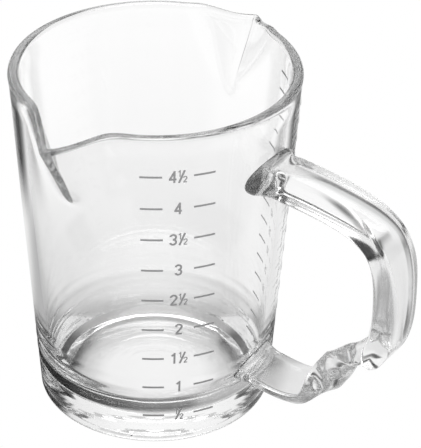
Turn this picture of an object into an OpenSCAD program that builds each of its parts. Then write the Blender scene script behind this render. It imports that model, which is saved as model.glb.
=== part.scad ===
// Small glass measuring cup with two pinched spouts, a fused glass handle wrung in its lower leg,
// and two fired scales.
// Millimetres, Z up. The origin is the middle of the base underside, the handle points along +X,
// and the spouts point along +Y and -Y.

/* [Cup] */
// Outer radius of the mouth
rim_r = 25; // [22:0.5:32]
// Outer radius of the wall line carried down to the base
base_r = 20.5; // [17:0.5:24]
// Height from the base to the rim
cup_h = 64; // [56:1:84]
// Thickness of the wall
wall_t = 1.8; // [1.4:0.1:2.4]
// Thickness of the floor
floor_t = 4; // [3:0.25:8]
// Height of the thick curve between the floor and the wall
heel_h = 9; // [5:0.5:14]
// Width of the thick curve between the floor and the wall
heel_w = 5.2; // [3:0.1:8]
// Rounding of the outer edge of the base
foot_round = 1.5; // [0.5:0.25:2.5]
// Width of the flat ring that the base stands on
foot_ring = 3.6; // [1.5:0.1:6]
// Depth of the shallow hollow inside that ring
punt_d = 0.8; // [0.2:0.1:1.5]

/* [Spouts] */
// How far each spout tip stands out past the wall
spout_out = 7.6; // [4:0.2:9]
// How far each spout tip lies below the rim
spout_drop = 2.6; // [0.5:0.1:3.5]
// Depth from the rim to where the keel of a spout runs out
spout_depth = 15.5; // [12:0.5:17]
// Half of the angle that a spout takes up at the rim
spout_half = 25; // [20:1:28]
// Sharpness of the beak seen from above
spout_power = 2.1; // [1.4:0.1:2.6]

/* [Handle] */
// Distance from the rim radius out to the middle of the grip
grip_out = 24; // [20:0.5:32]
// Depth of the upper end of the handle below the rim
upper_down = 12.3; // [10:0.1:16]
// Height of the lower end of the handle above the base
lower_up = 12.5; // [9:0.1:16]
// Width of the bar below its upper end
root_w = 6.9; // [5:0.1:9]
// Thickness of the bar below its upper end
root_t = 6.2; // [4:0.1:7]
// Width of the grip
grip_w = 8.8; // [6:0.1:10]
// Thickness of the grip
grip_t = 4.4; // [3.2:0.1:6]
// Width of the crest, where the lower leg is rolled over
crest_w = 4; // [3.2:0.1:6]
// Thickness of the crest
crest_t = 3.2; // [2.8:0.1:5]
// Roll of the crest, in degrees
crest_roll = 60; // [0:1:65]
// Width of the neck, where the lower leg is wrung the other way
neck_w = 4.4; // [3.6:0.1:6]
// Thickness of the neck
neck_t = 5.6; // [4:0.1:6.4]
// Roll of the neck, in degrees
neck_roll = 38; // [0:1:45]
// Width of the flat strap towards the lower end
strap_w = 8.8; // [6:0.1:10]
// Thickness of the strap
strap_t = 2.4; // [2:0.1:4]
// Roll of the strap, in degrees
strap_roll = 10; // [0:1:20]
// End of the strap, as a share of the reach of the lower leg
strap_end = 0.43; // [0.36:0.01:0.46]
// Place of the neck, as a share of the reach of the lower leg
neck_at = 0.62; // [0.58:0.01:0.66]
// Place of the crest, as a share of the reach of the lower leg
crest_at = 0.76; // [0.73:0.01:0.8]
// Distance from the middle of the grip in to the elbow of the lower leg
elbow_in = 8.4; // [6:0.1:10]
// Height of the elbow above the lower end
elbow_up = 8.7; // [7:0.1:11]
// Slope of the lower leg at the elbow
elbow_slope = 55.5; // [40:0.5:60]
// How much wider the upper end spreads where it is fused on
upper_flare = 1.95; // [1.2:0.05:2.2]
// How much wider the lower end spreads where it is fused on
lower_flare = 1.15; // [1:0.05:1.4]

/* [Scales] */
// Angle from the handle to the middle of the front scale
front_angle = -43.5; // [-55:0.5:-35]
// Angle from the handle to the middle of the rear scale
rear_angle = 43.5; // [35:0.5:55]
// Depth of the top front mark below the rim
front_top = 7.4; // [6:0.2:12]
// Height of the lowest front mark above the base
front_low = 6.6; // [4:0.2:10]
// Depth of the top rear mark below the rim
rear_top = 5.6; // [5:0.2:12]
// Height of the lowest rear mark above the base
rear_low = 5; // [4:0.2:10]
// How much closer the rear marks stand towards the rim
rear_ease = 0.12; // [0:0.02:0.3]
// Lean of the front scale from its lowest mark to its top mark, in degrees
front_lean = -2.8; // [-4:0.2:4]
// Length of a line
line_len = 3.7; // [2:0.1:4.5]
// Height of a line
line_h = 0.36; // [0.2:0.02:0.6]
// Distance from the middle of the scale to the near end of a line
line_gap = 2.6; // [2.4:0.1:3.5]
// Height of a numeral on the front scale
front_digit = 2.3; // [1.4:0.1:2.6]
// Height of a numeral on the rear scale
rear_digit = 1.5; // [1.2:0.1:1.9]
// Thickness of the fired colour
print_t = 0.06; // [0.04:0.01:0.1]

/* [Hidden] */
// Part to draw, or all of them
front_names = ["half", "1", "1_half", "2", "2_half", "3", "3_half", "4", "4_half"];
front_count = len(front_names);
rear_count = 15;
glass_tint = [0.86, 0.9, 0.91, 0.55];
print_tint = [0.45, 0.46, 0.47];
// Plain wall left between the end of a keel and the foot of the spouted mouth
mouth_gap = 2;
// Height at which the plain turned wall ends and the spouted mouth begins
mouth_z = cup_h - spout_depth - mouth_gap;
// Blunting of the keel, in degrees
keel_blunt = 2;
// Share of the half angle that a spout still takes up at the end of its keel
keel_share = 0.25;
// Radius of the rounded lip
lip_r = wall_t / 2;
// How far the foot of the mouth stays inside both faces of the turned wall
tuck = 0.03;
// Depth of the foot of the mouth inside the turned wall
tuck_z = 0.6;
// How far the ends of the bar reach into the wall line before they are cut to it
seat_in = 1.2;
// Distance from the wall over which an end of the handle spreads
flare_run = 3.2;
// How much thicker the upper and the lower end spread
upper_swell = 1.05;
lower_swell = 1.5;
// Place where the grip begins, as a share of the reach of the lower leg
grip_at = 0.95;
// Degrees of the heel curve that are used before it meets the floor
heel_end = 65;
// Depth of the block that a numeral is cut from
print_block = 3;
// Stroke of a numeral with a height of one
stroke = 0.15;
// Width of a numeral cell with a height of one
cell = 0.62;
// Points round one section of the handle
bar_sides = 28;
// Sections along the three curves of the handle
upper_steps = 36;
grip_steps = 20;
lower_steps = 52;
// Squareness of the bar section, from 2 for an ellipse upward
bar_square = 3.4;

$fn = 96;

// Outer radius of the plain wall at a height
function wall_r(z) = base_r + (rim_r - base_r) * z / cup_h;
// Smooth step from 0 to 1
function ease(t) = let (c = min(1, max(0, t))) c * c * (3 - 2 * c);
// Angle between a direction and the nearer spout
function off_spout(a) = let (b = ((a % 180) + 180) % 180) abs(b - 90);
// How far down a spout a height lies, 0 at the end of the keel and 1 at the rim
function keel(z) = min(1, max(0, (z - (cup_h - spout_depth)) / spout_depth));
// Share of the half angle that the spout still takes up
function spread(u) = spout_half * (keel_share + (1 - keel_share) * pow(u, 0.7));
// Angle measured from the keel, blunted at the tip
function blunt(d) = sqrt(d * d + keel_blunt * keel_blunt) - keel_blunt;
// Beak outline, 1 on the keel and 0 at the side
function beak(d, half) = pow(max(0, 1 - max(0, blunt(d)) / half), spout_power);
// Distance that the wall is pushed out by a spout
function push_out(a, z) = let (u = keel(z)) u <= 0 ? 0 : spout_out * u * beak(off_spout(a), spread(u));
// Height of the lip at an angle
function lip_z(a) = cup_h - spout_drop * beak(off_spout(a), 0.85 * spout_half);

// Angles of the columns of the mouth: close together at the spouts, wider elsewhere
spout_cols = 24;
plain_cols = 30;
plain_half = 90 - spout_half;
function quarter_cols(s) = concat(
    [
        for (i = [0:spout_cols - 1]) let (v = 2 * i / spout_cols - 1)
            s * 180 + 90 + spout_half * sign(v) * pow(abs(v), 1.35)
    ],
    [for (i = [0:plain_cols - 1]) s * 180 + 90 + spout_half + 2 * plain_half * i / plain_cols]
);
mouth_cols = concat(quarter_cols(0), quarter_cols(1));

// Rows of the mouth between its foot and the lip, and round the lip
wall_rows = 9;
lip_rows = 6;
function row_z(a, i) = let (low = mouth_z + tuck_z, top = lip_z(a) - lip_r)
    low + (top - low) * pow(i / wall_rows, 0.85);
// One closed outline of the mouth wall at an angle, as radius and height, from the foot over the lip
function mouth_ring(a) = let (
    top = lip_z(a) - lip_r,
    mid = wall_r(top) + push_out(a, top) - lip_r
) concat(
    [[wall_r(mouth_z - tuck_z) - tuck, mouth_z - tuck_z], [wall_r(mouth_z) - tuck, mouth_z]],
    [for (i = [0:wall_rows - 1]) let (z = row_z(a, i)) [wall_r(z) + push_out(a, z), z]],
    [for (i = [0:lip_rows]) let (t = 180 * i / lip_rows) [mid + lip_r * cos(t), top + lip_r * sin(t)]],
    [for (i = [wall_rows - 1:-1:0]) let (z = row_z(a, i)) [wall_r(z) - wall_t + push_out(a, z), z]],
    [
        [wall_r(mouth_z) - wall_t + tuck, mouth_z],
        [wall_r(mouth_z - tuck_z) - wall_t + tuck, mouth_z - tuck_z]
    ]
);

// Closed band of points: rings joined to each other, with the last ring joined to the first
module band(rings) {
    n = len(rings);
    m = len(rings[0]);
    points = [for (r = rings) each r];
    faces = [
        for (i = [0:n - 1]) for (j = [0:m - 1]) let (
            a = i * m + j,
            b = i * m + (j + 1) % m,
            c = ((i + 1) % n) * m + (j + 1) % m,
            d = ((i + 1) % n) * m + j
        ) each [[a, b, c], [a, c, d]]
    ];
    polyhedron(points, faces);
}

// Closed rod of points: rings joined to each other, with a flat cap at each end
module rod(rings) {
    n = len(rings);
    m = len(rings[0]);
    points = [for (r = rings) each r];
    sides = [
        for (i = [0:n - 2]) for (j = [0:m - 1]) let (
            a = i * m + j,
            b = i * m + (j + 1) % m,
            c = (i + 1) * m + (j + 1) % m,
            d = (i + 1) * m + j
        ) each [[a, c, b], [a, d, c]]
    ];
    caps = [[for (j = [0:m - 1]) j], [for (j = [m - 1:-1:0]) (n - 1) * m + j]];
    polyhedron(points, concat(sides, caps));
}

// Half of the turned profile from the base to the top of the plain wall
module turned_profile() {
    heel_z = floor_t + heel_h;
    arc_w = heel_w / (1 - cos(heel_end));
    arc_h = heel_h / sin(heel_end);
    heel_mid = wall_r(heel_z) - wall_t - arc_w;
    foot_mid = wall_r(foot_round) - foot_round;
    punt_r = foot_mid - foot_ring;
    polygon(concat(
        [for (i = [0:8]) let (u = i / 8) [punt_r * u, punt_d * (1 - u * u)]],
        [for (t = [-90:15:0]) [foot_mid + foot_round * cos(t), foot_round + foot_round * sin(t)]],
        [[wall_r(mouth_z), mouth_z], [wall_r(mouth_z) - wall_t, mouth_z]],
        [for (i = [0:12]) let (t = heel_end * i / 12) [heel_mid + arc_w * cos(t), heel_z - arc_h * sin(t)]],
        [[0, floor_t]]
    ));
}

module cup_body() {
    color(glass_tint)
        union() {
            rotate_extrude()
                turned_profile();
            band([for (a = mouth_cols) [for (p = mouth_ring(a)) [p[0] * cos(a), p[0] * sin(a), p[1]]]]);
        }
}

// Ends, widest place and elbow of the middle line of the handle, as distance from the axis and height
upper_z = cup_h - upper_down;
upper_end = [wall_r(upper_z) - seat_in, upper_z];
lower_end = [wall_r(lower_up) - seat_in, lower_up];
span = upper_z - lower_up;
grip = [rim_r + grip_out, lower_up + 0.58 * span];
elbow = [grip[0] - elbow_in, lower_up + elbow_up];
elbow_dir = [cos(elbow_slope), sin(elbow_slope)];
upper_pull = [grip_out * 0.975, grip_out * -0.046];
grip_rise = [0, span * 0.332];
grip_fall = [0, span * -0.34];
elbow_reach = elbow_up * 0.42;
elbow_pull = elbow_up * 1.26;
lower_pull = [grip_out * 0.64, grip_out * -0.115];
upper_knots = [upper_end, upper_end + upper_pull, grip + grip_rise, grip];
grip_knots = [grip, grip + grip_fall, elbow + elbow_reach * elbow_dir, elbow];
lower_knots = [elbow, elbow - elbow_pull * elbow_dir, lower_end + lower_pull, lower_end];
// Point of a curve with four knots, and its direction
function curve(k, t) = pow(1 - t, 3) * k[0] + 3 * t * pow(1 - t, 2) * k[1]
    + 3 * t * t * (1 - t) * k[2] + pow(t, 3) * k[3];
function heading(k, t) = let (
    v = pow(1 - t, 2) * (k[1] - k[0]) + 2 * t * (1 - t) * (k[2] - k[1]) + t * t * (k[3] - k[2])
) v / norm(v);
// One section of the bar, turned about the middle line: width, thickness and roll in that order
function bar_round(v, square) = sign(v) * pow(abs(v), 2 / square);
function bar_ring(k, t, size, square) = let (p = curve(k, t), d = heading(k, t)) [
    for (i = [0:bar_sides - 1]) let (
        q = 360 * (i + 0.5) / bar_sides,
        x = size[0] / 2 * bar_round(cos(q), square),
        y = size[1] / 2 * bar_round(sin(q), square),
        s = x * cos(size[2]) + y * sin(size[2]),
        n = y * cos(size[2]) - x * sin(size[2])
    ) [p[0] - d[1] * n, s, p[1] + d[0] * n]
];
// Share of the spread at an end, from its distance to the wall
function flare(d) = pow(max(0, 1 - max(0, d) / flare_run), 2);
function flared(size, wide, thick, g) =
    [size[0] * (1 + (wide - 1) * g), size[1] * (1 + (thick - 1) * g), size[2]];
function square_at(g) = bar_square + (2 - bar_square) * sqrt(g);
// Part of the way from one section to another
function mixed(a, b, t) = a + (b - a) * ease(t);
// Section of the lower leg at a distance from the wall: strap, neck, crest and grip in turn
leg_reach = grip[0] - wall_r(lower_up);
root_size = [root_w, root_t, 0];
grip_size = [grip_w, grip_t, 0];
crest_size = [crest_w, crest_t, crest_roll];
neck_size = [neck_w, neck_t, -neck_roll];
strap_size = [strap_w, strap_t, strap_roll];
function leg_size(d) = let (
    u = d / leg_reach,
    to_neck = mixed(strap_size, neck_size, (u - strap_end) / (neck_at - strap_end)),
    to_crest = mixed(to_neck, crest_size, (u - neck_at) / (crest_at - neck_at))
) mixed(to_crest, grip_size, (u - crest_at) / (grip_at - crest_at));

module handle() {
    upper = [
        for (i = [0:upper_steps - 1]) let (
            t = pow(i / upper_steps, 1.15),
            p = curve(upper_knots, t),
            g = flare(p[0] - wall_r(p[1])),
            size = mixed(root_size, grip_size, (t - 0.2) / 0.45)
        ) bar_ring(upper_knots, t, flared(size, upper_flare, upper_swell, g), square_at(g))
    ];
    lower = [
        for (i = [0:grip_steps + lower_steps]) let (
            k = i < grip_steps ? grip_knots : lower_knots,
            t = i < grip_steps ? i / grip_steps : (i - grip_steps) / lower_steps,
            d = curve(k, t)[0] - wall_r(lower_up),
            g = i < grip_steps ? 0 : flare(d)
        ) bar_ring(k, t, flared(leg_size(d), lower_flare, lower_swell, g), square_at(g))
    ];
    color(glass_tint)
        difference() {
            rod(concat(upper, lower));
            cylinder(h = cup_h, r1 = base_r, r2 = rim_r);
        }
}

// Straight stroke of a numeral
module dash(a, b) {
    v = b - a;
    translate(a)
        rotate(atan2(v[1], v[0]))
            translate([0, -stroke / 2])
                square([norm(v), stroke]);
}

// Curved stroke of a numeral about a middle point
module bow(c, r, from, to) {
    sector = [for (i = [0:8]) let (t = from + (to - from) * i / 8) 2 * r * [cos(t), sin(t)]];
    translate(c)
        intersection() {
            difference() {
                circle(r + stroke / 2);
                circle(r - stroke / 2);
            }
            polygon(concat([[0, 0]], sector));
        }
}

// Numeral with a height of one
module digit(n) {
    if (n == 0) {
        bow([0.29, 0.71], 0.215, 0, 180);
        bow([0.29, 0.29], 0.215, 180, 360);
        dash([0.075, 0.28], [0.075, 0.72]);
        dash([0.505, 0.28], [0.505, 0.72]);
    }
    if (n == 1) {
        dash([0.34, 0], [0.34, 1]);
        dash([0.36, 0.92], [0.12, 0.72]);
    }
    if (n == 2) {
        bow([0.29, 0.71], 0.215, -42, 175);
        dash([0.46, 0.58], [0.1, 0.1]);
        dash([0.06, 0.075], [0.53, 0.075]);
    }
    if (n == 3) {
        bow([0.28, 0.72], 0.205, -95, 165);
        bow([0.28, 0.29], 0.215, -165, 95);
    }
    if (n == 4) {
        dash([0.41, 0], [0.41, 1]);
        dash([0.41, 0.92], [0.07, 0.29]);
        dash([0.02, 0.29], [0.56, 0.29]);
    }
    if (n == 5) {
        dash([0.12, 0.925], [0.51, 0.925]);
        dash([0.19, 0.98], [0.13, 0.42]);
        bow([0.28, 0.31], 0.235, -155, 140);
    }
    if (n == 6) {
        bow([0.29, 0.3], 0.225, 0, 180);
        bow([0.29, 0.3], 0.225, 180, 360);
        dash([0.09, 0.36], [0.36, 1]);
    }
    if (n == 7) {
        dash([0.05, 0.925], [0.55, 0.925]);
        dash([0.5, 0.96], [0.2, 0]);
    }
}

// Fraction of one half with the height of a numeral
module half_sign() {
    translate([0, 0.5])
        scale(0.55)
            digit(1);
    dash([0.12, -0.02], [0.52, 1.02]);
    translate([0.4, -0.02])
        scale(0.55)
            digit(2);
}

// Whole number with an optional half, centred, with a height of one
module number(n, half) {
    tens = floor(n / 10);
    ones = n % 10;
    digits = n > 9 ? 2 : n > 0 ? 1 : 0;
    span = digits * cell + (half ? 0.74 : 0);
    translate([-span / 2, -0.5]) {
        if (digits == 2)
            digit(tens);
        if (digits > 0)
            translate([(digits - 1) * cell, 0])
                digit(ones);
        if (half)
            translate([digits * cell, 0])
                half_sign();
    }
}

// Thin skin on the plain wall between two heights
module skin_profile(z0, z1) {
    low = wall_r(z0);
    high = wall_r(z1);
    polygon([[low, z0], [low + print_t, z0], [high + print_t, z1], [high, z1]]);
}

// One line of a scale, from one distance to another along the wall
module line_mark(angle, z, from, to) {
    turn = 180 / PI / wall_r(z);
    rotate([0, 0, angle + from * turn])
        rotate_extrude(angle = (to - from) * turn)
            skin_profile(z - line_h / 2, z + line_h / 2);
}

// One mark of a scale: a line, a numeral and a second line
module mark(angle, z, n, half, tall) {
    color(print_tint) {
        line_mark(angle, z, -line_gap - line_len, -line_gap);
        line_mark(angle, z, line_gap, line_gap + line_len);
        intersection() {
            rotate([0, 0, angle])
                translate([wall_r(z) - print_block / 2, 0, z])
                    rotate([90, 0, 90])
                        linear_extrude(print_block)
                            scale(tall)
                                number(n, half);
            rotate_extrude()
                skin_profile(z - 0.7 * tall, z + 0.7 * tall);
        }
    }
}

// Heights of the marks
function front_z(k) = front_low + (cup_h - front_top - front_low) * (k - 1) / (front_count - 1);
function rear_z(k) = let (u = (k - 1) / (rear_count - 1), v = u + rear_ease * u * (1 - u))
    rear_low + (cup_h - rear_top - rear_low) * v;

module front_mark(k) {
    share = (k - 1) / (front_count - 1) - 0.5;
    mark(front_angle + front_lean * share, front_z(k), floor(k / 2), k % 2 == 1, front_digit);
}

module rear_mark(k) {
    mark(rear_angle, rear_z(k), 5 * k, false, rear_digit);
}

cup_body();
handle();
for (k = [1:front_count])
    front_mark(k);
for (k = [1:rear_count])
    rear_mark(k);
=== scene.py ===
import math

import bpy
from mathutils import Matrix, Vector


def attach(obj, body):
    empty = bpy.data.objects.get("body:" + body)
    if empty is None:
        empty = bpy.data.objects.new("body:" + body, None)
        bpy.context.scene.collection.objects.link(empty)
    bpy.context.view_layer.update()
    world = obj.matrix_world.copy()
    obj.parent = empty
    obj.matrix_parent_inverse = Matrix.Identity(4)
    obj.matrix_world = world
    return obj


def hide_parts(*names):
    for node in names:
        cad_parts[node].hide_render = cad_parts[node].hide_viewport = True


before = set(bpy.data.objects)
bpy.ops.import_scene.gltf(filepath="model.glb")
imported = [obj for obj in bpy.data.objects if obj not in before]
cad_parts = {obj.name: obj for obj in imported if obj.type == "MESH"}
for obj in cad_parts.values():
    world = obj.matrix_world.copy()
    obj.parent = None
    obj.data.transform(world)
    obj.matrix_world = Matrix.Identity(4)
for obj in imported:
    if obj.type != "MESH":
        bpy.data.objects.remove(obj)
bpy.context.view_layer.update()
scene = bpy.context.scene
mm = 0.001
print("frame loaded:", len(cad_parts), "nodes")


# the photograph's viewpoint, in metres and degrees round the cup's own axis
cameraPlan = {
    "azimuth": 36.5,     # from straight in front of the -Y spout towards the handle
    "distance": 0.3566,  # along the table from the cup's axis
    "height": 0.2543,    # above the table
    "yaw": 1.548,        # the look direction, turned right of the axis
    "pitch": 31.86,      # the look direction, below level
    "roll": 0.939,
    "lens": 205.2,
    "sensor": 36.0,
    "clip": (0.01, 20.0),
}


def turned(x, y, angle):
    c, s = math.cos(angle), math.sin(angle)
    return c * x - s * y, s * x + c * y


def makeCamera(plan):
    azimuth = math.radians(plan["azimuth"])
    yaw, pitch = math.radians(plan["yaw"]), math.radians(plan["pitch"])
    spot = Vector((*turned(0, -plan["distance"], azimuth), plan["height"]))
    level = turned(math.sin(yaw) * math.cos(pitch), math.cos(yaw) * math.cos(pitch), azimuth)
    look = Vector((*level, -math.sin(pitch))).normalized()
    right = look.cross(Vector((0, 0, 1))).normalized()
    up = right.cross(look)
    roll = math.radians(plan["roll"])
    rightRolled = math.cos(roll) * right + math.sin(roll) * up
    upRolled = -math.sin(roll) * right + math.cos(roll) * up
    data = bpy.data.cameras.new("photoCamera")
    data.lens = plan["lens"]
    data.sensor_fit = "HORIZONTAL"
    data.sensor_width = plan["sensor"]
    data.clip_start, data.clip_end = plan["clip"]
    camera = bpy.data.objects.new("photoCamera", data)
    turn = Matrix((rightRolled, upRolled, -look)).transposed().to_4x4()
    camera.matrix_world = Matrix.Translation(spot) @ turn
    scene.collection.objects.link(camera)
    scene.camera = camera


makeCamera(cameraPlan)
print("camera placed")


# shader helpers
def addNode(tree, kind, **inputs):
    node = tree.nodes.new(kind)
    for name, value in inputs.items():
        node.inputs[name.replace("_", " ")].default_value = value
    return node


def newMaterial(name, shaderKind):
    material = bpy.data.materials.new(name)
    material.use_nodes = True
    tree = material.node_tree
    tree.nodes.clear()
    output = tree.nodes.new("ShaderNodeOutputMaterial")
    shader = tree.nodes.new(shaderKind)
    tree.links.new(shader.outputs[0], output.inputs["Surface"])
    return material, tree, shader, output


def addNoise(tree, scale, detail, rough):
    place = tree.nodes.new("ShaderNodeTexCoord")
    noise = addNode(tree, "ShaderNodeTexNoise", Scale=scale, Detail=detail, Roughness=rough)
    tree.links.new(place.outputs["Object"], noise.inputs["Vector"])
    return noise.outputs["Fac"]


def addBump(tree, shader, height, strength, depth):
    bump = addNode(tree, "ShaderNodeBump", Strength=strength, Distance=depth)
    tree.links.new(height, bump.inputs["Height"])
    tree.links.new(bump.outputs["Normal"], shader.inputs["Normal"])


def addGloss(tree, shader, noise, noiseRange, roughness):
    gloss = addNode(tree, "ShaderNodeMapRange", From_Min=noiseRange[0], From_Max=noiseRange[1],
                    To_Min=roughness[0], To_Max=roughness[1])
    tree.links.new(noise, gloss.inputs["Value"])
    tree.links.new(gloss.outputs["Result"], shader.inputs["Roughness"])


def glassFinish(name, plan):
    material, tree, shader, output = newMaterial(name, "ShaderNodeBsdfPrincipled")
    shader.inputs["Base Color"].default_value = (*plan["tint"], 1)
    shader.inputs["Transmission Weight"].default_value = 1.0
    shader.inputs["IOR"].default_value = plan["ior"]
    # slow waves that fire polishing leaves in the surface
    waves = addNoise(tree, *plan["waveNoise"])
    addBump(tree, shader, waves, plan["waveStrength"], plan["waveDepth"])
    # faint haze from handling, in patches
    haze = addNoise(tree, *plan["hazeNoise"])
    addGloss(tree, shader, haze, plan["hazeRange"], plan["haze"])
    # a little colour gathered over the thickness of the glass
    depth = addNode(tree, "ShaderNodeVolumeAbsorption", Density=plan["depthDensity"])
    depth.inputs["Color"].default_value = (*plan["depthTint"], 1)
    tree.links.new(depth.outputs["Volume"], output.inputs["Volume"])
    return material


def meshPiece(name, points, faces, material):
    data = bpy.data.meshes.new(name)
    data.from_pydata([[c * mm for c in p] for p in points], [], faces)
    data.validate()
    data.polygons.foreach_set("use_smooth", [True] * len(data.polygons))
    data.materials.append(material)
    piece = bpy.data.objects.new(name, data)
    scene.collection.objects.link(piece)
    return piece


def smoothStep(t):
    c = min(1.0, max(0.0, t))
    return c * c * (3 - 2 * c)


# the cup: sizes in millimetres and degrees
cupPlan = {
    "rimR": 25.0,
    "baseR": 20.5,
    "height": 64.0,
    "wall": 1.8,
    "floor": 4.0,
    "heelHeight": 9.0,
    "heelWidth": 5.2,
    "heelEnd": 65.0,     # degrees of the heel's curve that are used before it meets the floor
    "floorFillet": 0.5,
    "filletShare": 0.5,  # of the heel's last step, taken up by the fillet
    "footRound": 1.5,
    "puntR": 15.5,       # hollow under the base
    "puntDepth": 0.8,
    "rippleDepth": 0.006,
    "ripplePitch": 1.6,
    "rippleFade": 0.25,  # outer share of the hollow over which its ripples die out
    "outerWave": 0.05,   # level waves left in the wall above the base
    "innerWave": 0.008,
    "wavePitch": 2.7,
    "waveSpan": (5.5, 18.0),
    "waveFade": (2.5, 7.0),     # heights over which they begin and die out
    "lipR": 0.98,
    "lipFall": 4.0,      # height over which the lip thins to the wall
    "spoutOut": 7.6,
    "spoutDrop": 2.6,
    "spoutDepth": 15.5,
    "spoutHalf": 25.0,
    "spoutPower": 2.1,   # above 1 its flanks are hollow
    "spoutSpread": 0.7,  # how soon the spout widens above its keel's foot
    "dipHalf": 20.0,     # degrees over which the lip dips towards the spout
    "keelBlunt": (1.0, 0.25),   # degrees of rounding along the keel, outside and inside
    "keelShare": 0.25,   # share of the spout's width at its keel's foot
    "printLift": 0.02,   # glass stands this far over the back of the print
    "printCalm": 0.6,    # share of the waves that is missing there
    "printAt": 43.5,     # the scales' middles, in degrees on both sides of the handle
    "printHalf": 19.0,
    "printTop": 61.0,
    "printFade": (2.0, 1.5),    # degrees and millimetres over which the lift ends
    "spoutColumns": 80,
    "plainColumns": 80,
    "columnCrowding": 1.35,     # above 1 the columns crowd towards the keels
    "wallRows": 50,
    "rowCrowding": 0.8,  # below 1 the rows crowd towards the lip
    "waveStep": 0.32,
    "puntRows": 60,
    "footRows": 8,
    "heelRows": 36,
    "filletRows": 8,
    "floorRows": 8,
    "lipRows": 16,
}

cupGlassPlan = {
    "tint": (1.0, 1.0, 1.0),
    "ior": 1.5,
    "waveNoise": (60.0, 2.0, 0.4),   # scale, detail and roughness
    "waveStrength": 0.04,
    "waveDepth": 0.0002,
    "hazeNoise": (90.0, 4.0, 0.6),
    "hazeRange": (0.45, 0.8),
    "haze": (0.0, 0.02),
    "depthTint": (0.79, 0.8, 0.8),
    "depthDensity": 1.5,
}


def wallRadius(z):
    c = cupPlan
    return c["baseR"] + (c["rimR"] - c["baseR"]) * z / c["height"]


def offSpout(angle):
    return abs(angle % 180 - 90)


def spoutPush(angle, z, inside=0.0):
    # how far the wall is pulled out, for the outside or, with inside 1, for the inside
    c = cupPlan
    u = min(1.0, max(0.0, (z - (c["height"] - c["spoutDepth"])) / c["spoutDepth"]))
    if u == 0:
        return 0.0
    half = c["spoutHalf"] * (c["keelShare"] + (1 - c["keelShare"]) * u ** c["spoutSpread"])
    outer, inner = c["keelBlunt"]
    soft = outer + (inner - outer) * inside
    blunt = math.hypot(offSpout(angle), soft) - soft
    return c["spoutOut"] * u * max(0.0, 1 - blunt / half) ** c["spoutPower"]


def lipHeight(angle):
    c = cupPlan
    return c["height"] - c["spoutDrop"] * (1 - smoothStep(offSpout(angle) / c["dipHalf"]))


def printLift(angle, z):
    # only where the scales are, so that the cup keeps its size
    c = cupPlan
    off = abs(abs((angle + 180) % 360 - 180) - c["printAt"])
    fadeAround, fadeUp = c["printFade"]
    around = smoothStep((c["printHalf"] - off) / fadeAround)
    return c["printLift"] * around * smoothStep((c["printTop"] - z) / fadeUp)


def puntHeight(r):
    c = cupPlan
    u = r / c["puntR"]
    if u >= 1:
        return 0.0
    fade = smoothStep((1 - u) / c["rippleFade"])
    ripple = c["rippleDepth"] * math.sin(2 * math.pi * r / c["ripplePitch"]) * fade
    return c["puntDepth"] * (1 - u * u) + ripple


def baseWave(z):
    c = cupPlan
    low, high = c["waveSpan"]
    rise, fall = c["waveFade"]
    fade = smoothStep((z - low) / rise) * smoothStep((high - z) / fall)
    return math.sin(2 * math.pi * z / c["wavePitch"]) * fade


def wallHeights(low, top):
    # close together where the wall is wavy, wider apart above
    c = cupPlan
    waveTop = c["waveSpan"][1]
    close = round((waveTop - low) / c["waveStep"])
    heights = [low + (waveTop - low) * i / close for i in range(1, close)]
    for i in range(c["wallRows"]):
        heights.append(waveTop + (top - waveTop) * (i / c["wallRows"]) ** c["rowCrowding"])
    return heights


def wallThickness(z, top):
    c = cupPlan
    return c["wall"] + (2 * c["lipR"] - c["wall"]) * smoothStep(1 - (top - z) / c["lipFall"])


def undersideProfile():
    # from the middle of the hollow out round the foot
    c = cupPlan
    foot = c["footRound"]
    footMid = wallRadius(foot) - foot
    points = []
    for i in range(1, c["puntRows"]):
        r = footMid * i / c["puntRows"]
        points.append((r, puntHeight(r)))
    for i in range(c["footRows"] + 1):
        t = math.radians(-90 + 90 * i / c["footRows"])
        points.append((footMid + foot * math.cos(t), foot + foot * math.sin(t)))
    return points


def outsideProfile(angle, top):
    c = cupPlan
    points = []
    for z in wallHeights(c["footRound"], top):
        lift = printLift(angle, z)
        wave = c["outerWave"] * baseWave(z) * (1 - c["printCalm"] * lift / c["printLift"])
        points.append((wallRadius(z) + spoutPush(angle, z) + lift + wave, z))
    return points


def lipProfile(angle, top):
    c = cupPlan
    lipR = c["lipR"]
    lipMid = wallRadius(top) + spoutPush(angle, top) - lipR
    points = []
    for i in range(c["lipRows"] + 1):
        t = math.pi * i / c["lipRows"]
        points.append((lipMid + lipR * math.cos(t), top + lipR * math.sin(t)))
    return points


def insideProfile(angle, top):
    c = cupPlan
    points = []
    for z in reversed(wallHeights(c["floor"] + c["heelHeight"], top)):
        wave = c["innerWave"] * baseWave(z)
        push = spoutPush(angle, z, smoothStep((top - z) / c["lipFall"]))
        points.append((wallRadius(z) - wallThickness(z, top) + push + wave, z))
    return points


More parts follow.
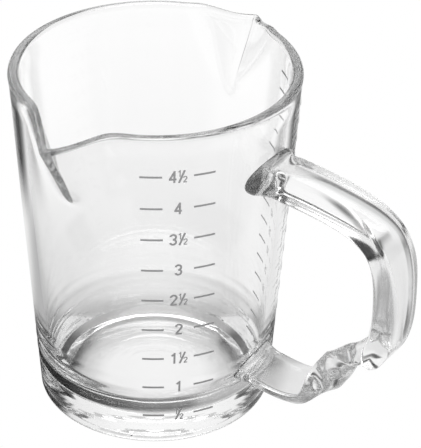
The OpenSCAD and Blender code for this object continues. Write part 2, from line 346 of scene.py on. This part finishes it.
def floorProfile():
    # from the wall down the heel, over a small fillet and in along the floor
    c = cupPlan
    heelZ = c["floor"] + c["heelHeight"]
    end = math.radians(c["heelEnd"])
    width = c["heelWidth"] / (1 - math.cos(end))
    height = c["heelHeight"] / math.sin(end)
    mid = wallRadius(heelZ) - c["wall"] - width
    points = []
    for i in range(c["heelRows"]):
        t = end * i / c["heelRows"]
        z = heelZ - height * math.sin(t)
        points.append((mid + width * math.cos(t) + c["innerWave"] * baseWave(z), z))
    cornerR = mid + width * math.cos(end)
    heelLast = Vector(points[-1])
    for i in range(1, c["filletRows"]):
        v = i / c["filletRows"]
        before = Vector((cornerR, c["floor"])).lerp(heelLast, c["filletShare"] * (1 - v))
        after = Vector((cornerR - c["floorFillet"] * v, c["floor"]))
        points.append(tuple(before.lerp(after, v)))
    floorR = cornerR - c["floorFillet"]
    points += [(floorR * i / c["floorRows"], c["floor"]) for i in range(c["floorRows"], 0, -1)]
    return points


def cupColumns():
    # degrees round the cup
    c = cupPlan
    plainSpan = 180 - 2 * c["spoutHalf"]
    angles = []
    for keel in (90, 270):
        for i in range(c["spoutColumns"]):
            v = 2 * i / c["spoutColumns"] - 1
            angles.append(keel + c["spoutHalf"] * math.copysign(abs(v) ** c["columnCrowding"], v))
        for i in range(c["plainColumns"]):
            angles.append(keel + c["spoutHalf"] + plainSpan * i / c["plainColumns"])
    return angles


def makeCup(material):
    underside, floor = undersideProfile(), floorProfile()
    points = []
    for angle in cupColumns():
        c, s = math.cos(math.radians(angle)), math.sin(math.radians(angle))
        top = lipHeight(angle) - cupPlan["lipR"]
        walls = outsideProfile(angle, top) + lipProfile(angle, top) + insideProfile(angle, top)
        profile = underside + walls + floor
        points += [(r * c, r * s, z) for r, z in profile]
    rows = len(profile)
    starts = range(0, len(points), rows)
    strips = list(zip(starts, [*starts[1:], 0]))   # each column beside the next one round the cup
    faces = []
    for here, there in strips:
        faces += [(here + j, there + j, there + j + 1, here + j + 1) for j in range(rows - 1)]
    under, above = len(points), len(points) + 1   # the middles of the underside and the floor
    points += [(0, 0, puntHeight(0)), (0, 0, cupPlan["floor"])]
    for here, there in strips:
        faces.append((under, there, here))
        faces.append((above, here + rows - 1, there + rows - 1))
    return meshPiece("glassCup", points, faces, material)


cupGlass = glassFinish("cupGlass", cupGlassPlan)
cup = makeCup(cupGlass)
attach(cup, "root")
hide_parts("cup_body")
print("cup made:", len(cup.data.polygons), "faces")


# the handle: sizes in millimetres and degrees
handlePlan = {
    "gripOut": 24.0,
    "upperDown": 12.3,
    "lowerUp": 12.5,
    "elbowIn": 8.4,
    "elbowUp": 8.7,
    "elbowSlope": 55.5,
    "startIn": 1.2,          # the middle line starts this far inside the wall
    "gripRise": 0.58,        # the outermost point, as a share of the height between the two ends
    "upperLead": (0.975, -0.046),     # the middle line's pull out of the upper end, as shares of gripOut
    "lowerLead": (0.64, -0.115),      # and out of the lower end
    "gripLead": (0.332, 0.34),        # its pull above and below the outermost point, by the same height
    "elbowLead": (0.42, 1.26),        # its pull before and after the elbow, as shares of elbowUp
    "root": (6.9, 6.2),      # width and thickness, here below the upper seat
    "grip": (8.8, 4.3),
    "crest": (4.0, 3.2),     # where the bar is rolled over
    "neck": (4.4, 5.6),      # drawn thin and standing on edge
    "strap": (8.8, 2.4),     # pressed flat towards the lower seat
    "rootToGrip": (0.2, 0.65),        # shares of the upper leg over which it widens
    "stations": (0.43, 0.62, 0.76),   # end of the strap, neck and crest, as shares of the lower leg
    "gripStart": 0.95,
    "strapRoll": 10.0,
    "rollBack": -38.0,
    "rollOver": 60.0,
    "upperFlare": (1.95, 1.05),    # widening where the ends are fused on
    "lowerFlare": (1.15, 1.5),
    "flareRun": 3.2,
    "upperEdges": (0.9, 0.7, 0.9, 2.6),   # radius along the bar's four edges, far outer edge first
    "gripEdges": (1.3, 1.8, 0.9, 1.9),
    "neckEdges": (1.9, 1.2, 0.6, 1.9),
    "strapEdges": (1.1, 0.9, 0.5, 1.1),
    "upperChange": (0.75, 1.0),       # share of the upper leg over which its edges become the grip's
    "neckChange": (11.0, 15.0),       # the lower leg's changes of edges, by distance from the wall
    "gripChange": (21.0, 25.0),
    "edgeCap": 0.96,         # most of the half width or thickness that an edge takes
    "crown": 0.1,            # swell of its flat faces
    "flatSteps": 12,
    "cornerSteps": 8,
    "upperSteps": 120,
    "upperCrowding": 1.3,    # above 1 the rings crowd towards the upper seat
    "gripSteps": 90,
    "lowerSteps": 160,
}

handleGlassPlan = dict(cupGlassPlan, waveNoise=(45.0, 2.0, 0.4), waveStrength=0.02, haze=(0.12, 0.15))


def curvePoint(knots, t):
    a, b, c, d = knots
    return (1 - t) ** 3 * a + 3 * t * (1 - t) ** 2 * b + 3 * t * t * (1 - t) * c + t ** 3 * d


def curveHeading(knots, t):
    a, b, c, d = knots
    return ((1 - t) ** 2 * (b - a) + 2 * t * (1 - t) * (c - b) + t * t * (d - c)).normalized()


def handleCurves():
    # the bar's middle line, seen from the side: out from the upper seat, down the grip, back to the wall
    h = handlePlan
    upperZ = cupPlan["height"] - h["upperDown"]
    span = upperZ - h["lowerUp"]
    reach = h["gripOut"]
    upperEnd = Vector((wallRadius(upperZ) - h["startIn"], upperZ))
    lowerEnd = Vector((wallRadius(h["lowerUp"]) - h["startIn"], h["lowerUp"]))
    grip = Vector((cupPlan["rimR"] + reach, h["lowerUp"] + h["gripRise"] * span))
    elbow = Vector((grip.x - h["elbowIn"], h["lowerUp"] + h["elbowUp"]))
    slope = math.radians(h["elbowSlope"])
    along = Vector((math.cos(slope), math.sin(slope)))
    aboveGrip, belowGrip = (Vector((0, pull * span)) for pull in h["gripLead"])
    beforeElbow, afterElbow = (pull * h["elbowUp"] * along for pull in h["elbowLead"])
    upper = [upperEnd, upperEnd + Vector(h["upperLead"]) * reach, grip + aboveGrip, grip]
    middle = [grip, grip - belowGrip, elbow + beforeElbow, elbow]
    lower = [elbow, elbow - afterElbow, lowerEnd + Vector(h["lowerLead"]) * reach, lowerEnd]
    return upper, middle, lower


def barSection(width, thick, roundness, edges):
    # a rectangle with rounded edges and slightly swelling faces, drawn towards an ellipse at the ends
    h = handlePlan
    halfW, halfT = width / 2 - h["crown"], thick / 2 - h["crown"]
    edges = [min(edge, h["edgeCap"] * halfW, h["edgeCap"] * halfT) for edge in edges]
    corners = [(1, 1), (-1, 1), (-1, -1), (1, -1)]
    middles = [Vector((x * (halfW - e), y * (halfT - e))) for (x, y), e in zip(corners, edges)]
    points = []
    for i in range(4):
        for j in range(h["cornerSteps"]):
            q = math.radians(90 * (i + j / h["cornerSteps"]))
            points.append(middles[i] + edges[i] * Vector((math.cos(q), math.sin(q))))
        facing = Vector(turned(1, 0, math.radians(90 * (i + 1))))
        here = middles[i] + edges[i] * facing
        there = middles[(i + 1) % 4] + edges[(i + 1) % 4] * facing
        points += [here.lerp(there, j / h["flatSteps"]) for j in range(h["flatSteps"])]
    section = []
    for q in points:
        u, v = q.x / halfW, q.y / halfT
        swollen = Vector((q.x + h["crown"] * u * (1 - v * v), q.y + h["crown"] * v * (1 - u * u)))
        lie = math.atan2(q.y / thick, q.x / width)
        oval = Vector((width / 2 * math.cos(lie), thick / 2 * math.sin(lie)))
        section.append(swollen.lerp(oval, roundness))
    return section


def barRing(knots, t, size, turn, roundness, edges):
    p, d = curvePoint(knots, t), curveHeading(knots, t)
    ring = []
    for q in barSection(*size, roundness, edges):
        side, outward = turned(q.x, q.y, math.radians(turn))
        ring.append((p.x - d.y * outward, side, p.y + d.x * outward))
    return ring


def flare(away):
    return max(0.0, 1 - max(0.0, away) / handlePlan["flareRun"]) ** 2


def flared(size, amount, share):
    return [side * (1 + (grow - 1) * share) for side, grow in zip(size, amount)]


def between(start, end, at):
    return smoothStep((at - start) / (end - start))


def mixed(first, second, share):
    return tuple(x + (y - x) * share for x, y in zip(first, second))


def wrungSection(away):
    # size and roll of the lower leg by distance from the wall: strap, neck, crest, grip
    h = handlePlan
    reach = cupPlan["rimR"] + h["gripOut"] - wallRadius(h["lowerUp"])
    strapEnd, neckAt, crestAt = (share * reach for share in h["stations"])
    s = between(strapEnd, neckAt, away)
    c = between(neckAt, crestAt, away)
    g = between(crestAt, h["gripStart"] * reach, away)
    size = mixed(mixed(mixed(h["strap"], h["neck"], s), h["crest"], c), h["grip"], g)
    roll = h["strapRoll"] + (h["rollBack"] - h["strapRoll"]) * s
    roll = (roll + (h["rollOver"] - roll) * c) * (1 - g)
    return size, -roll


def upperRings(upper):
    h = handlePlan
    rings = []
    for i in range(h["upperSteps"]):
        t = (i / h["upperSteps"]) ** h["upperCrowding"]
        p = curvePoint(upper, t)
        g = flare(p.x - wallRadius(p.y))
        size = flared(mixed(h["root"], h["grip"], between(*h["rootToGrip"], t)), h["upperFlare"], g)
        edges = mixed(h["upperEdges"], h["gripEdges"], between(*h["upperChange"], t))
        rings.append(barRing(upper, t, size, 0, math.sqrt(g), edges))
    return rings


def lowerRings(middle, lower):
    h = handlePlan
    steps = [(middle, i / h["gripSteps"]) for i in range(h["gripSteps"])]
    steps += [(lower, i / h["lowerSteps"]) for i in range(h["lowerSteps"] + 1)]
    rings = []
    for knots, t in steps:
        away = curvePoint(knots, t).x - wallRadius(h["lowerUp"])
        g = 0.0 if knots is middle else flare(away)
        size, roll = wrungSection(away)
        edges = mixed(h["strapEdges"], h["neckEdges"], between(*h["neckChange"], away))
        edges = mixed(edges, h["gripEdges"], between(*h["gripChange"], away))
        rings.append(barRing(knots, t, flared(size, h["lowerFlare"], g), roll, math.sqrt(g), edges))
    return rings


def onWall(p):
    # a point of an end, moved out to the wall along the bar
    seat = wallRadius(p[2])
    if math.hypot(p[0], p[1]) >= seat:
        return p
    return (math.sqrt(max(0.0, seat * seat - p[1] * p[1])), p[1], p[2])


def makeHandle(material):
    upper, middle, lower = handleCurves()
    rings = upperRings(upper) + lowerRings(middle, lower)
    sides = len(rings[0])
    points = [onWall(p) for ring in rings for p in ring]
    faces = []
    for i in range(len(rings) - 1):
        here, there = i * sides, (i + 1) * sides
        for j in range(sides):
            k = (j + 1) % sides
            faces.append((here + j, here + k, there + k, there + j))
    faces.append(tuple(range(sides - 1, -1, -1)))
    faces.append(tuple((len(rings) - 1) * sides + j for j in range(sides)))
    return meshPiece("glassHandle", points, faces, material)


handleGlass = glassFinish("handleGlass", handleGlassPlan)
handle = makeHandle(handleGlass)
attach(handle, "root")
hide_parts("handle")
print("handle made:", len(handle.data.polygons), "faces")


# the fired scales keep their shapes and get their enamel
enamelPlan = {
    "tones": ((0.38, 0.38, 0.385), (0.52, 0.52, 0.525)),
    "toneRange": (0.3, 0.7),
    "grainNoise": (2500.0, 5.0, 0.65),   # scale, detail and roughness
    "grainStrength": 0.3,
    "grainDepth": 0.00002,
    "roughness": (0.3, 0.55),
}


def enamelFinish(name, plan):
    material, tree, shader, _ = newMaterial(name, "ShaderNodeBsdfPrincipled")
    grain = addNoise(tree, *plan["grainNoise"])
    tone = tree.nodes.new("ShaderNodeValToRGB")
    for element, place, colour in zip(tone.color_ramp.elements, plan["toneRange"], plan["tones"]):
        element.position = place
        element.color = (*colour, 1)
    tree.links.new(grain, tone.inputs["Fac"])
    tree.links.new(tone.outputs["Color"], shader.inputs["Base Color"])
    addBump(tree, shader, grain, plan["grainStrength"], plan["grainDepth"])
    addGloss(tree, shader, grain, (0.0, 1.0), plan["roughness"])
    return material


enamel = enamelFinish("greyEnamel", enamelPlan)
marks = [node for name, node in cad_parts.items() if "_mark_" in name]
for mark in marks:
    mark.data.materials.clear()
    mark.data.materials.append(enamel)
print("marks finished:", len(marks))


# the table and the studio, laid out round the photograph's viewing line
studioPlan = {
    "tableSize": 6.0,    # metres
    "tableWhite": 1.0,
    "tableDrop": {"paleTable": 0.2, "paintedShadeTable": 0.1},   # millimetres below the foot
    # painted light and shade on the table, by degrees from straight behind the cup, positive to the
    # right
    "table": [(-180, 0.38), (-145, 0.4), (-115, 0.6), (-90, 0.5), (-60, 0.5), (-38, 0.9), (0, 1.0),
              (40, 1.0), (60, 0.85), (85, 0.85), (100, 1.0), (112, 0.85), (126, 0.38), (180, 0.38)],
    "tableSpan": (33, 38),         # reached between these millimetres from the cup's axis
    # the same painted light and shade further off, with a painted dark card on each side
    "farTable": [(-180, 0.38), (-135, 0.4), (-110, 0.9), (-58, 1.0), (-48, 0.03), (-32, 0.03),
                 (-26, 1.0), (0, 1.0), (26, 1.0), (32, 0.06), (44, 0.06), (54, 1.0), (90, 0.9),
                 (106, 0.8), (122, 0.38), (180, 0.38)],
    "farTableSpan": (60, 90),
    # and beyond that, where the painted table behind the camera is pale again
    "outerTable": [(-180, 0.95), (-135, 0.95), (-110, 0.9), (-58, 1.0), (-48, 0.45), (-32, 0.45),
                   (-26, 1.0), (0, 1.0), (26, 1.0), (32, 0.45), (44, 0.45), (54, 1.0), (90, 0.9),
                   (135, 0.95), (180, 0.95)],
    "outerTableSpan": (95, 190),
    # painted shade under the foot by the same degrees
    "foot": [(-180, 0.4), (-150, 0.2), (-110, 0.03), (-65, 0.03), (-40, 0.8), (0, 1.0),
             (45, 0.8), (58, 0.1), (78, 0.1), (92, 0.95), (145, 0.95), (162, 0.4), (180, 0.4)],
    "footSpan": (12.5, 15.5),
    # painted shadow under and round the cup by millimetres from its axis, which also dims the painted
    # tones above
    "paintedCupShadow": [(0, 0.95), (8, 0.93), (13.5, 0.6), (17, 0.4), (21, 0.55), (26, 0.84), (35, 0.92),
                (120, 1.0)],
    # tone of the room above the table, in the same degrees
    "room": [(-180, 0.9), (-150, 0.9), (-118, 0.8), (-95, 0.1), (-45, 0.03), (-34, 0.9), (0, 1.0),
             (34, 0.9), (45, 0.03), (95, 0.05), (125, 0.7), (150, 0.9), (180, 0.9)],
    "roomLow": (6.0, 15.0),        # degrees above the table over which the room lightens
    "overhead": (56.0, 70.0),      # and over which the pale ceiling begins
    "ceiling": 0.9,
    "topLight": {"size": 1.0, "spot": (0, 0, 1.0), "aim": (0, 0, 0.03), "power": 6.0},
    "bounces": 128,
    "glassBounces": 96,
}


def toneRamp(tree, stops):
    # a grey by place, from the first stop's place to the last one's
    ramp = tree.nodes.new("ShaderNodeValToRGB")
    bar = ramp.color_ramp
    bar.interpolation = "EASE"
    while len(bar.elements) < len(stops):
        bar.elements.new(0.5)
    low, high = stops[0][0], stops[-1][0]
    for element, (place, tone) in zip(bar.elements, stops):
        element.position = (place - low) / (high - low)
        element.color = (tone, tone, tone, 1)
    return ramp


def aroundTone(tree, place, stops):
    # degrees from the viewing line to a grey
    turn = addNode(tree, "ShaderNodeMapping", Rotation=(0, 0, -math.radians(cameraPlan["azimuth"])))
    split = tree.nodes.new("ShaderNodeSeparateXYZ")
    angle = tree.nodes.new("ShaderNodeMath")
    angle.operation = "ARCTAN2"
    share = addNode(tree, "ShaderNodeMapRange", From_Min=-math.pi, From_Max=math.pi)
    ramp = toneRamp(tree, stops)
    tree.links.new(place, turn.inputs["Vector"])
    tree.links.new(turn.outputs["Vector"], split.inputs["Vector"])
    tree.links.new(split.outputs["X"], angle.inputs[0])
    tree.links.new(split.outputs["Y"], angle.inputs[1])
    tree.links.new(angle.outputs["Value"], share.inputs["Value"])
    tree.links.new(share.outputs["Result"], ramp.inputs["Fac"])
    return ramp.outputs["Color"]


def nearTone(tree, reach, stops):
    # millimetres from the cup's axis to a grey
    share = addNode(tree, "ShaderNodeMapRange", From_Max=stops[-1][0] * mm)
    ramp = toneRamp(tree, stops)
    tree.links.new(reach, share.inputs["Value"])
    tree.links.new(share.outputs["Result"], ramp.inputs["Fac"])
    return ramp.outputs["Color"]


def softShare(tree, value, low, high):
    # 0 below the first value, 1 above the second, with a soft step between
    share = addNode(tree, "ShaderNodeMapRange", From_Min=low, From_Max=high)
    share.interpolation_type = "SMOOTHSTEP"
    tree.links.new(value, share.inputs["Value"])
    return share.outputs["Result"]


def spanShare(tree, reach, span):
    # by millimetres from the cup's axis
    return softShare(tree, reach, span[0] * mm, span[1] * mm)


def risingShare(tree, height, span):
    # by degrees above the table
    return softShare(tree, height, math.sin(math.radians(span[0])), math.sin(math.radians(span[1])))


def mixTones(tree, share, first, second, kind="MIX"):
    # a tone is a socket or, where it is the same all over, a number
    mix = tree.nodes.new("ShaderNodeMix")
    mix.data_type = "RGBA"
    mix.blend_type = kind
    tree.links.new(share, mix.inputs["Factor"])
    colours = [socket for socket in mix.inputs if socket.type == "RGBA"]
    for socket, tone in zip(colours, (first, second)):
        if isinstance(tone, (int, float)):
            socket.default_value = (tone, tone, tone, 1)
        else:
            tree.links.new(tone, socket)
    return next(socket for socket in mix.outputs if socket.type == "RGBA")


def makeTable(name, plan):
    half = plan["tableSize"] / 2
    corners = [(-half, -half, 0), (half, -half, 0), (half, half, 0), (-half, half, 0)]
    data = bpy.data.meshes.new(name)
    data.from_pydata(corners, [], [(0, 1, 2, 3)])
    material, tree, glow, _ = newMaterial(name, "ShaderNodeEmission")
    glow.inputs["Strength"].default_value = plan["tableWhite"]
    material.cycles.emission_sampling = "NONE"
    data.materials.append(material)
    table = bpy.data.objects.new(name, data)
    table.location.z = -plan["tableDrop"][name] * mm
    scene.collection.objects.link(table)
    return table, tree, glow


def makeFloor(plan):
    # the table as the camera sees it: plain white
    seen, _, _ = makeTable("paleTable", plan)
    seen.visible_diffuse = seen.visible_glossy = seen.visible_transmission = False
    # the table as the glass sees it: glowing, with painted shade close to the cup and painted dark cards
    # at the sides
    paintedTable, tree, glow = makeTable("paintedShadeTable", plan)
    paintedTable.visible_camera = False
    place = tree.nodes.new("ShaderNodeTexCoord").outputs["Object"]
    length = tree.nodes.new("ShaderNodeVectorMath")
    length.operation = "LENGTH"
    tree.links.new(place, length.inputs[0])
    reach = length.outputs["Value"]
    # the painted shade under the foot gives way to the painted tones of the table, and that to the
    # painted tones further off
    tone = aroundTone(tree, place, plan["foot"])
    for part in ("table", "farTable", "outerTable"):
        share = spanShare(tree, reach, plan[part + "Span"])
        tone = mixTones(tree, share, tone, aroundTone(tree, place, plan[part]))
    # painted shadow round the cup, alone under the foot and multiplied into the painted tones further
    # out
    cupShadowTone = nearTone(tree, reach, plan["paintedCupShadow"])
    paintedTone = mixTones(tree, spanShare(tree, reach, plan["footSpan"]), cupShadowTone, tone, "MULTIPLY")
    # the painted light and shade become the colour the table glows with
    tree.links.new(paintedTone, glow.inputs["Color"])


def makeLight(name, plan):
    data = bpy.data.lights.new(name, "AREA")
    data.shape = "DISK"
    data.size = plan["size"]
    data.energy = plan["power"]
    light = bpy.data.objects.new(name, data)
    light.location = plan["spot"]
    light.rotation_mode = "QUATERNION"
    light.rotation_quaternion = (Vector(plan["aim"]) - Vector(plan["spot"])).to_track_quat("-Z", "Y")
    scene.collection.objects.link(light)


def makeRoom(plan):
    world = bpy.data.worlds.new("studio")
    world.use_nodes = True
    tree = world.node_tree
    place = tree.nodes.new("ShaderNodeTexCoord").outputs["Generated"]
    split = tree.nodes.new("ShaderNodeSeparateXYZ")
    tree.links.new(place, split.inputs["Vector"])
    height = split.outputs["Z"]
    # dark at the table's edge, pale overhead
    walls = aroundTone(tree, place, plan["room"])
    tone = mixTones(tree, risingShare(tree, height, plan["roomLow"]), 0.0, walls)
    tone = mixTones(tree, risingShare(tree, height, plan["overhead"]), tone, plan["ceiling"])
    tree.links.new(tone, tree.nodes["Background"].inputs["Color"])
    scene.world = world


makeFloor(studioPlan)
makeLight("topLight", studioPlan["topLight"])
makeRoom(studioPlan)
scene.view_settings.view_transform = "Standard"
scene.cycles.max_bounces = studioPlan["bounces"]
scene.cycles.transmission_bounces = studioPlan["glassBounces"]
scene.cycles.glossy_bounces = studioPlan["glassBounces"]
scene.cycles.use_denoising = True
print("studio lit")
